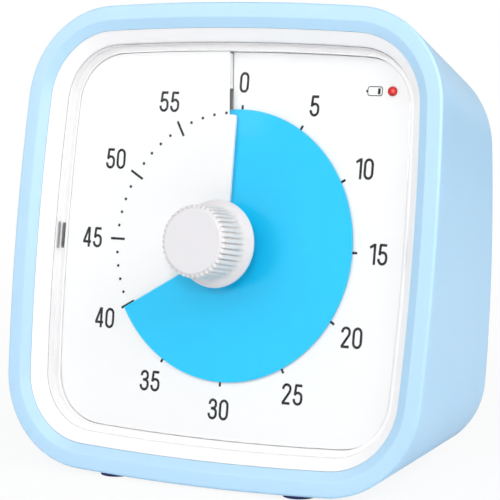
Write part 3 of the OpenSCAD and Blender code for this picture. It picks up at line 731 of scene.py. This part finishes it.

# painted shade: the fillets of the tray are painted as thin grey lines whose grey follows how light falls,
# so it differs at each side; their strengths are those at top, right, bottom, left
edge_line_shade = (1.3, 0.0, 0.6, 0.9)
corner_line_shade = (0.38, 0.4, 0.2, 0.06)
foot_line_shade = (0.25, 0.0, 0.1, 0.05)
plain = (0, 0, 0, 0)
fillet = 0.14
edge_fade = 0.28
corner_fade = 0.3
cover_edge = cover_half - cover_gap
cover_back = cover_plane + cover_thick
foot_plane = -0.05
cover_line = [(cover_edge, foot_plane, plain), (cover_edge, cover_plane + edge_fade, plain)]
cover_line += [(x, y, edge_line_shade) for x, y in
               soften([(cover_edge, cover_plane + 0.5, 0), (cover_edge, cover_plane, fillet),
                       (cover_edge - 0.5, cover_plane, 0)])[1:-1]]
cover_line += [(cover_edge - edge_fade, cover_plane, plain), (cover_hole, cover_plane, plain),
               (cover_hole, cover_back, plain), (cover_inside - corner_fade, cover_back, plain)]
cover_line += [(x, y, corner_line_shade) for x, y in
               soften([(cover_inside - 0.6, cover_back, 0), (cover_inside, cover_back, fillet),
                       (cover_inside, cover_back + 0.6, 0)])[1:-1]]
cover_line += [(cover_inside, cover_back + corner_fade, plain), (cover_inside, foot_plane - 0.15, plain),
               (cover_inside, foot_plane, foot_line_shade), (cover_inside + 0.15, foot_plane, plain)]
cover_rings, cover_shade_paint = [], []
for half, y, strengths in cover_line:
    ring = flat_ring(half, y) if half > cover_hole else cover_rings[-1]
    if half == cover_hole:
        turns = np.arctan2(ring[:, 2], ring[:, 0])
        ring = np.column_stack([half * np.cos(turns), np.full(len(ring), y), half * np.sin(turns)])
    along_ring = np.roll(ring, -1, axis=0) - np.roll(ring, 1, axis=0)
    facing = np.column_stack([-along_ring[:, 0], along_ring[:, 2], along_ring[:, 0], -along_ring[:, 2]])
    shares = np.maximum(facing, 0) ** 2 / np.sum(along_ring ** 2, axis=1)[:, None]
    cover_rings.append(ring)
    cover_shade_paint += list(shares @ np.array(strengths))
# the snap tab at each side: a rib on the wall, the arm through the slot and its hook behind the ledge,
# with painted shade: grey painted on each at the left, where it lies in shade; at the right they stay clear
rib_half = 3.2
arm_half = 2.8
hook_back = frame_back + 0.6
right_tab_shade = 0.05
tab_boxes = [
    ((cover_edge - 0.3, -1.4, -rib_half), (cover_edge - 0.05, -0.75, rib_half), 0.6),
    ((cover_inside + 0.4, -0.35, -arm_half), (cover_inside + 1.1, hook_back, arm_half), 0.1),
    ((cover_inside + 1.0, frame_back + 0.05, -arm_half), (cover_inside + 1.5, hook_back, arm_half), 0.1),
]
tabs = []
for side in (-1, 1):
    for low, high, mark in tab_boxes:
        low_x, high_x = sorted((side * low[0], side * high[0]))
        tabs.append(box_points((low_x, *low[1:]), (high_x, *high[1:])))
        # painted shade on the left tab; the right tab keeps only a trace
        cover_shade_paint += [mark if side < 0 else right_tab_shade] * 8
cover = piece("cover", *joined_parts(loft(cover_rings), *tabs), DIAL, clear, "case", "clear_cover", "clear",
              weighted=False)
marks = cover.data.attributes.new("painted_edge_shade", "FLOAT", "POINT")
marks.data.foreach_set("value", cover_shade_paint)


# ---- Knob
# A white moulded knob: saw-tooth ridges round a slightly flared barrel, a cove that runs out into a
# flange, and a flat face with a soft edge. A boss on its back is pressed on the spindle.
# heights are above the dial; a flare is the radius gained for each millimetre down
knob_radius = 8.37
knob_front = 16.6
ridge_count = 40
ridge_depth = 0.68
ridge_front = 15.86
ridge_flare = 0.034
core_front = 16.1
core_flare = 0.045
crown_slope = 1.3
face_flat = 7.0
face_round = 0.45
face_edge = 7.13
cove_radius = 3.0
flange_radius = 10.23
flange_front = 5.95
flange_back = 4.9
boss_radius = 4.0
boss_back = 1.3
groove_front = 15.1
groove_shade_strength = 0.15
knob_white = (0.745, 0.725, 0.745)
# painted warmth: the barrel is tinted warmer than the face against the blue light that the disc throws onto
# it
barrel_painted_warm = (0.80, 0.735, 0.70)
groove_shade_grey = (0.56, 0.50, 0.48)
knob_plastic, knob_tree = plain_material("white_knob_plastic")
knob_place = knob_tree.place()
knob_grain = knob_tree.noise(knob_place, 0.6, 3.0)
knob_cloud = knob_tree.noise(knob_place, cloud_mm)
# height above the dial along the knob's axis and distance from the axis, in millimetres
knob_axis = DIAL.to_3x3().normalized() @ Vector((0, -1, 0))
knob_shift = knob_tree.vector("SUBTRACT", knob_place, dial_centre)
knob_height = knob_tree.vector("DOT_PRODUCT", knob_shift, knob_axis, 1) / MM
knob_across = knob_tree.vector("CROSS_PRODUCT", knob_shift, knob_axis)
knob_reach = knob_tree.vector("LENGTH", knob_across, output=1) / MM
groove = knob_tree.ramp(knob_reach - (ridge_front - knob_height) * ridge_flare,
                        knob_radius, knob_radius - ridge_depth)
below_face = knob_tree.ramp(knob_height, knob_front - 0.25, knob_front - 0.9)
barrel = below_face * knob_tree.ramp(knob_height, 6.4, 8.2)
# painted shade: the barrel darkens toward grey in its grooves, below the face's edge
groove_shade = barrel * groove * (1 - (knob_height > groove_front)) * groove_shade_strength
knob_tint = knob_tree.mix(barrel, colour4(knob_white), colour4(barrel_painted_warm))
knob_tint = knob_tree.mix(groove_shade, knob_tint, colour4(groove_shade_grey))
knob_tint = knob_tree.mix(knob_cloud * 0.02, knob_tint, (0.6, 0.6, 0.6, 1))
knob_tree.surface(Base_Color=knob_tint, Roughness=knob_cloud * gloss_spread + 0.42,
                  Normal=knob_tree.bump(knob_grain, 0.04, grain_depth), Specular_IOR_Level=0.35)


def knob_line():
    """Profile from the face to the boss: core radius, height above the dial, and ridge radius or None."""
    line = [(on_axis, knob_front, None), (face_flat / 2, knob_front, None), (face_flat, knob_front, None)]
    for t in np.radians([86, 68, 50, 32, 12]):
        line.append((face_edge + face_round * math.cos(t),
                     knob_front - face_round + face_round * math.sin(t), None))
    for height in (16.12, 16.05, 15.96, 15.88, 15.75, 14.8, 13.5, 12, 10.5, 9.2):
        crown = min(0.0, ridge_front - height) * crown_slope
        line.append((knob_radius - ridge_depth + (core_front - height) * core_flare, height,
                     knob_radius + (ridge_front - height) * ridge_flare + crown))
    for t in np.radians([192, 204, 216, 228, 238, 246]):
        height = flange_front + 3.25 + cove_radius * math.sin(t)
        line.append((knob_radius + 2.85 + cove_radius * math.cos(t), height,
                     knob_radius + (ridge_front - height) * ridge_flare))
    for inward, forward in ((0.1, 0.25), (0.02, 0.15), (0, 0), (0, -0.1), (0.1, -0.25)):
        line.append((flange_radius - inward, flange_front + forward, None))
    return line + [(flange_radius - 1.2, flange_back, None), (boss_radius, flange_back, None),
                   (boss_radius, boss_back, None), (on_axis, boss_back, None)]


# one ridge: shares of its pitch, and how far the barrel drops there as a share of the ridge's depth
ridge_steps = [(0.0, 1.0), (0.05, 0.84), (0.12, 0.60), (0.20, 0.38), (0.30, 0.21), (0.42, 0.10),
               (0.56, 0.03), (0.70, 0.0), (0.80, 0.01), (0.86, 0.08), (0.89, 0.30), (0.92, 0.80),
               (0.95, 1.04), (1.0, 1.0)]
knob_profile = knob_line()
rows = len(knob_profile)
ridge_points, ridge_faces = [], []
for share, drop in ridge_steps:
    turn = share * 2 * math.pi / ridge_count
    for core, height, top in knob_profile:
        radius = core if top is None else max(core, top - drop * ridge_depth)
        ridge_points.append((radius * math.sin(turn), radius * math.cos(turn), height))
for column in range(len(ridge_steps) - 1):
    for row in range(rows - 1):
        first = column * rows + row
        ridge_faces.append((first, first + 1, first + rows + 1, first + rows))
knob_mesh = grown(ridge_points, [], ridge_faces, copies_round,
                  {"Count": ridge_count, "Skip": 0, "Material": knob_plastic})
for vertex in knob_mesh.vertices:
    x, z, height = vertex.co
    vertex.co = DIAL @ Vector((x, -height, z))
dressed(knob_mesh, "ridged_knob", knob_plastic, "turner", "knob", "white_knob", sharp=50)


# ---- Works behind the dial
# Spindle, bush, wheel, slip clutch, closed motor and pinion on the moulded chassis, with the gear
# cover, circuit board, sounder and their screws. They lie inside the closed case.
natural_plastic = moulded("natural_plastic", (0.60, 0.58, 0.53), 0.5, cloud=0.04)
black_plastic = moulded("black_plastic", (0.02, 0.02, 0.022), 0.45, grain=0.12)


def metal(name, colour, roughness, brush_mm):
    """Bare metal with fine lines from turning or rolling."""
    material, tree = plain_material(name)
    lines = tree.add("ShaderNodeMapping", None, {"Vector": tree.place(), "Scale": (1.0, 12.0, 1.0)})
    streak = tree.noise(lines, brush_mm, 4.0)
    tree.surface(Base_Color=tree.mix(streak, colour4(colour, 0.88), colour4(colour, 1.05)), Metallic=1.0,
                 Roughness=streak * 0.15 + roughness, Normal=tree.bump(streak, 0.08, 0.05 * MM))
    return material


steel = metal("bright_steel", (0.62, 0.63, 0.65), 0.25, 1.5)
brass = metal("turned_brass", (0.78, 0.60, 0.28), 0.25, 1.2)
board, board_tree = plain_material("green_board")
track = board_tree.add("ShaderNodeTexBrick", {"offset": 0.37}, {
    "Vector": board_tree.place(), "Scale": 160.0, "Mortar Size": 0.03, "Color1": (0.02, 0.16, 0.07, 1),
    "Color2": (0.02, 0.20, 0.09, 1), "Mortar": (0.05, 0.33, 0.16, 1)})
board_tree.surface(Base_Color=track, Roughness=0.3)

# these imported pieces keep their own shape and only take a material
for material, names in (
        (natural_plastic, ("disc_hub", "spindle_wheel", "chassis", "gear_cover")),
        (steel, ("spindle", "clutch_spring", "clutch_clip", "motor_can", "motor_shaft", "chassis_screws")),
        (brass, ("spindle_bush", "motor_pinion")), (board, ("circuit_board",)),
        (black_plastic, ("sounder",))):
    for name in names:
        only_material(frame["nodes"][name].data, material)


# ---- Rear cover, battery door and switch
# The flat rear cover is moulded in the case's blue, with a battery bay, sound holes and a cradle for the
# volume switch. The door swings down on two pins; the switch's white slider stands in its slot.
def join_flat(opened):
    bmesh.ops.dissolve_limit(opened, angle_limit=math.radians(0.3), verts=opened.verts, edges=opened.edges)


def eased(node, name, material, body, width=0.2, sharp=35):
    """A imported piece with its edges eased, as a mould leaves them."""
    mesh = frame["nodes"][node].data.copy()
    edit(mesh, merge, join_flat)
    mesh.shade_smooth()
    only_material(mesh, material)
    obj = in_scene(name, mesh)
    bevel = obj.modifiers.new("eased edges", "BEVEL")
    bevel.width = width * MM
    bevel.segments = 2
    bevel.limit_method = "ANGLE"
    bevel.angle_limit = math.radians(sharp)
    normals = obj.modifiers.new("even normals", "WEIGHTED_NORMAL")
    normals.weight = 100
    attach(obj, body)
    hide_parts(node)


eased("rear_cover", "rear_panel", blue_plastic, "case")
eased("battery_door", "door", blue_plastic, "door")
eased("switch_body", "switch_housing", black_plastic, "case", 0.1)
eased("switch_slider", "switch_grip", knob_plastic, "switch", 0.12)


# ---- Battery cell and its contacts
# A plain AA cell lies in the bay between a coil of spring wire and a plate with a nub.
cell_low, cell_high = (Vector(corner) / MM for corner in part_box("battery_cell"))
cell_middle = (cell_low + cell_high) / 2
cell_radius = (cell_high.z - cell_low.z) / 2
cell_length = cell_high.x - cell_low.x
cell_shoulder = cell_length - 1.4
pole_radius = 2.75
black_length = 38.5
bare_length = 1.55
sleeve, sleeve_tree = plain_material("cell_sleeve")
sleeve_place = sleeve_tree.place()
along = sleeve_tree.add("ShaderNodeSeparateXYZ", None, {"Vector": sleeve_place})
copper_end = along > (cell_low.x + black_length) * MM
metal_end = along > (cell_high.x - bare_length) * MM
sleeve_scuff = sleeve_tree.noise(sleeve_place, 3)
sleeve_base = sleeve_tree.mix(copper_end, (0.022, 0.024, 0.03, 1), (0.55, 0.28, 0.10, 1))
sleeve_tree.surface(Base_Color=sleeve_tree.mix(metal_end, sleeve_base, (0.66, 0.66, 0.67, 1)),
                    Metallic=copper_end * 0.9, Roughness=sleeve_scuff * 0.12 + 0.22, Coat_Weight=0.3)
cell_line = soften([(cell_radius - 1.2, 0.25, 0), (cell_radius - 0.9, 0, 0.2), (cell_radius, 0, 0.5),
                    (cell_radius, cell_shoulder, 0.5), (cell_radius - 1.1, cell_shoulder, 0.2),
                    (pole_radius, cell_shoulder + 0.2, 0.1), (pole_radius, cell_length, 0.35),
                    (0.4, cell_length, 0)], 5)
cell_line = [(on_axis, 0.25), *cell_line, (on_axis, cell_length)]
lay_down = Matrix.Translation(Vector((cell_low.x, cell_middle.y, cell_middle.z)) * MM)
lay_down = lay_down @ Matrix.Rotation(-math.pi / 2, 4, "Z") @ Matrix.Scale(MM, 4)
piece("cell", *lathe(cell_line, 64), lay_down, sleeve, "case", "battery_cell", "cell_wrap")


def wire_tree():
    """Round wire along every chain of edges."""
    tree, given = geometry_tree("wire", [("Radius", "Float", 0.35), ("Material", "Material", None)])
    path = tree.add("GeometryNodeMeshToCurve", None, {"Mesh": given["Mesh"]})
    section = tree.add("GeometryNodeCurvePrimitiveCircle", None,
                       {"Resolution": 12, "Radius": given["Radius"]})
    tube = tree.add("GeometryNodeCurveToMesh", None,
                    {"Curve": path, "Profile Curve": section, "Fill Caps": True})
    return end_tree(tree, tube, given["Material"])


spring_low, spring_high = (Vector(corner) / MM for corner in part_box("cell_spring"))
spring_turns = 3
spring_wire = 0.35
spring_radius = 4.6
spring_taper = 2.0
spring_start, spring_end = spring_low.x + 0.6, spring_high.x - spring_wire
plate_half_y, plate_half_z, plate_thick = 5.6, 6, 0.4
coil = []
for share in np.linspace(0, 1, 40 * spring_turns):
    turn = 2 * math.pi * spring_turns * share
    radius = spring_radius - spring_taper * share
    coil.append((spring_start + (spring_end - spring_start) * share, cell_middle.y + radius * math.cos(turn),
                 cell_middle.z + radius * math.sin(turn)))
spring_mesh = grown(coil, [(i, i + 1) for i in range(len(coil) - 1)], [], wire_tree(),
                    {"Radius": spring_wire, "Material": steel})
spring_mesh.transform(Matrix.Scale(MM, 4))
dressed(spring_mesh, "contact_spring", steel, "case", "cell_spring", "steel")
spring_plate = box_points((spring_low.x, cell_middle.y - plate_half_y, cell_middle.z - plate_half_z),
                          (spring_low.x + plate_thick, cell_middle.y + plate_half_y,
                           cell_middle.z + plate_half_z))
piece("spring_plate", *spring_plate, Matrix.Scale(MM, 4), steel, "case", slot="steel")
eased("cell_plate", "contact_plate", steel, "case", 0.08)


# ---- Rear screws
# Four steel screws with cross recesses, sunk in the rear cover's counterbores.
def spot_tree():
    """One copy of a small mesh on every point of another, all turned the same way."""
    tree, given = geometry_tree("copies_at_points", [("Copy", "Object", None),
                                                     ("Material", "Material", None)])
    small = tree.add("GeometryNodeObjectInfo", None, {"Object": given["Copy"]}, "Geometry")
    copies = tree.add("GeometryNodeInstanceOnPoints", None, {"Points": given["Mesh"], "Instance": small})
    return end_tree(tree, copies, given["Material"])


# row_split is a height between the lower and the upper pair
screw_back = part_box("rear_screws")[1].y / MM
row_split = 45
shank_radius, shank_length, tip_length = 1.2, 9.2, 9.6
head_radius, head_drop, head_thick = 2.5, 0.07, 0.95
cross_half, cross_width, cross_depth = 1.3, 0.25, 0.9
screw_points = [vertex.co / MM for vertex in frame["nodes"]["rear_screws"].data.vertices]
screw_spots = []
for side, upper in ((1, True), (-1, True), (-1, False), (1, False)):
    near = [point for point in screw_points if point.x * side > 0 and (point.z > row_split) == upper]
    across = [point.x for point in near]
    up = [point.z for point in near]
    screw_spots.append(((min(across) + max(across)) / 2, screw_back, (min(up) + max(up)) / 2))
screw_line = soften([(shank_radius, 0, 0), (head_radius, -head_drop, 0.25),
                     (head_radius, -head_thick, 0)], 4)
screw_line = [(on_axis, 0), *screw_line, (shank_radius, -head_thick), (shank_radius, -shank_length),
              (on_axis, -tip_length)]
cross_boxes = [((-x, -cross_depth, -z), (x, 0.5, z))
               for x, z in ((cross_half, cross_width), (cross_width, cross_half))]
screw = in_scene("screw", cut_boxes(lathe(screw_line, 32), cross_boxes, Matrix.Identity(4)))
screws = grown(screw_spots, [], [], spot_tree(), {"Copy": screw, "Material": steel})
bpy.data.objects.remove(screw)
screws.transform(Matrix.Scale(MM, 4))
dressed(screws, "back_screws", steel, "case", "rear_screws", "steel")


# ---- Feet
# Four round feet of navy rubber, set in shallow recesses in the bottom of the shell.
rubber = moulded("navy_rubber", (0.012, 0.02, 0.12), 0.7, grain=0.3, grain_mm=0.3)
eased("front_feet", "feet_front", rubber, "case", 0.15)
eased("rear_feet", "feet_rear", rubber, "case", 0.15)


# ---- Table, light and camera
# A pale table under plain soft light from large panels, and a camera at eye height to the right.
table_radius = 4
table_steps = 96
table_drop = 0.0002
white_floor, floor_tree = plain_material("pale_table")
floor_place = floor_tree.place()
floor_cloud = floor_tree.noise(floor_place, 80)
floor_fade = floor_tree.ramp(floor_tree.vector("LENGTH", floor_place, output=1), 0.08, 0.45, 0.90, 1.0)
seen = floor_tree.add("ShaderNodeLightPath", output="Is Camera Ray") * floor_fade
matt = floor_tree.add("ShaderNodeBsdfDiffuse", None, {
    "Color": floor_tree.mix(floor_cloud, (0.86, 0.87, 0.88, 1), (0.88, 0.89, 0.90, 1))})
glow = floor_tree.add("ShaderNodeEmission", None, {"Color": (1, 1, 1, 1), "Strength": 1.0})
floor_surface = floor_tree.add("ShaderNodeMixShader", None, {0: seen, 1: matt, 2: glow})
floor_tree.add("ShaderNodeOutputMaterial", None, {"Surface": floor_surface})
table_mesh = bpy.data.meshes.new("table")
table_mesh.from_pydata([(table_radius * math.cos(t), table_radius * math.sin(t), -table_drop)
                        for t in np.linspace(0, 2 * math.pi, table_steps, endpoint=False)],
                       [], [tuple(range(table_steps))])
table_mesh.materials.append(white_floor)
in_scene("table", table_mesh)

world = bpy.data.worlds.new("studio")
bpy.context.scene.world = world
world.use_nodes = True
world_tree = Tree(world.node_tree)
direct = world_tree.add("ShaderNodeLightPath", output="Is Camera Ray")
mirrored = world_tree.add("ShaderNodeLightPath", output="Is Glossy Ray")
through = world_tree.add("ShaderNodeLightPath", output="Is Transmission Ray")
shown = direct.math("MAXIMUM", direct.math("MAXIMUM", direct, mirrored * 0.5), through)
ambient = world_tree.add("ShaderNodeBackground", None, {"Color": (0.98, 0.99, 1.0, 1), "Strength": 0.12})
backdrop = world_tree.add("ShaderNodeBackground", None, {"Color": (1, 1, 1, 1), "Strength": 1.0})
world_surface = world_tree.add("ShaderNodeMixShader", None, {0: shown, 1: ambient, 2: backdrop})
world_tree.add("ShaderNodeOutputWorld", None, {"Surface": world_surface})

# panels: name, degrees round to the right and up from the front, size in metres, watts and tint
white = (1.0, 1.0, 1.0)
panels = [
    ("front_panel", 26, 18, 0.12, 1.85, white),
    ("upper_left_panel", -15, 40, 0.4, 1.1, white),
    ("left_panel", -30, 12, 0.5, 0.85, white),
    ("far_left_panel", -45, 30, 0.5, 0.85, white),
    ("upper_right_panel", 20, 40, 0.4, 0.95, white),
    ("key_panel", 60, 35, 0.4, 1.8, white),
    ("high_panel", 45, 62, 0.4, 0.5, white),
    ("side_panel", 100, 25, 0.5, 3.75, (0.90, 0.97, 1.0)),
    ("rear_left_panel", 225, 18, 0.8, 2.8, white),
]
panel_away = 0.9
lit_middle = Vector((0, 0, 0.055))


def direction(turn, rise):
    """From the object towards a place round to the right and up, angles in radians."""
    return Vector((math.sin(turn) * math.cos(rise), -math.cos(turn) * math.cos(rise), math.sin(rise)))


for name, turn, rise, size, watts, tint in panels:
    light = bpy.data.lights.new(name, "AREA")
    light.size = size
    light.energy = watts
    light.color = tint
    panel = in_scene(name, light)
    towards = direction(math.radians(turn), math.radians(rise))
    panel.location = lit_middle + towards * panel_away
    panel.rotation_mode = "QUATERNION"
    panel.rotation_quaternion = towards.to_track_quat("Z", "Y")

# the camera's turn, rise and roll in radians and its place in millimetres, from the dial's centre
view_turn, view_rise, view_roll = 0.51801, -0.02262, 0.07475
view_aside, view_up, view_away = -5.02541, 1.11724, 524.74134
lens_length = 162.27
back = direction(view_turn, view_rise)
level = Vector((0, 0, 1)).cross(back).normalized()
upward = back.cross(level)
right = level * math.cos(view_roll) + upward * math.sin(view_roll)
upward = upward * math.cos(view_roll) - level * math.sin(view_roll)
eye = back * view_away - right * view_aside - upward * view_up
turned = Matrix((right, upward, back)).transposed()
camera = in_scene("camera", bpy.data.cameras.new("camera"))
camera.data.lens = lens_length
camera.data.sensor_width = 36
camera.data.clip_start = 0.05
camera.data.clip_end = 20
camera.rotation_mode = "QUATERNION"
camera.location = DIAL @ eye
camera.rotation_quaternion = (Matrix.Rotation(-lean, 3, "X") @ turned).to_quaternion()
bpy.context.scene.camera = camera
bpy.context.scene.view_settings.view_transform = "Standard"

bpy.context.view_layer.update()
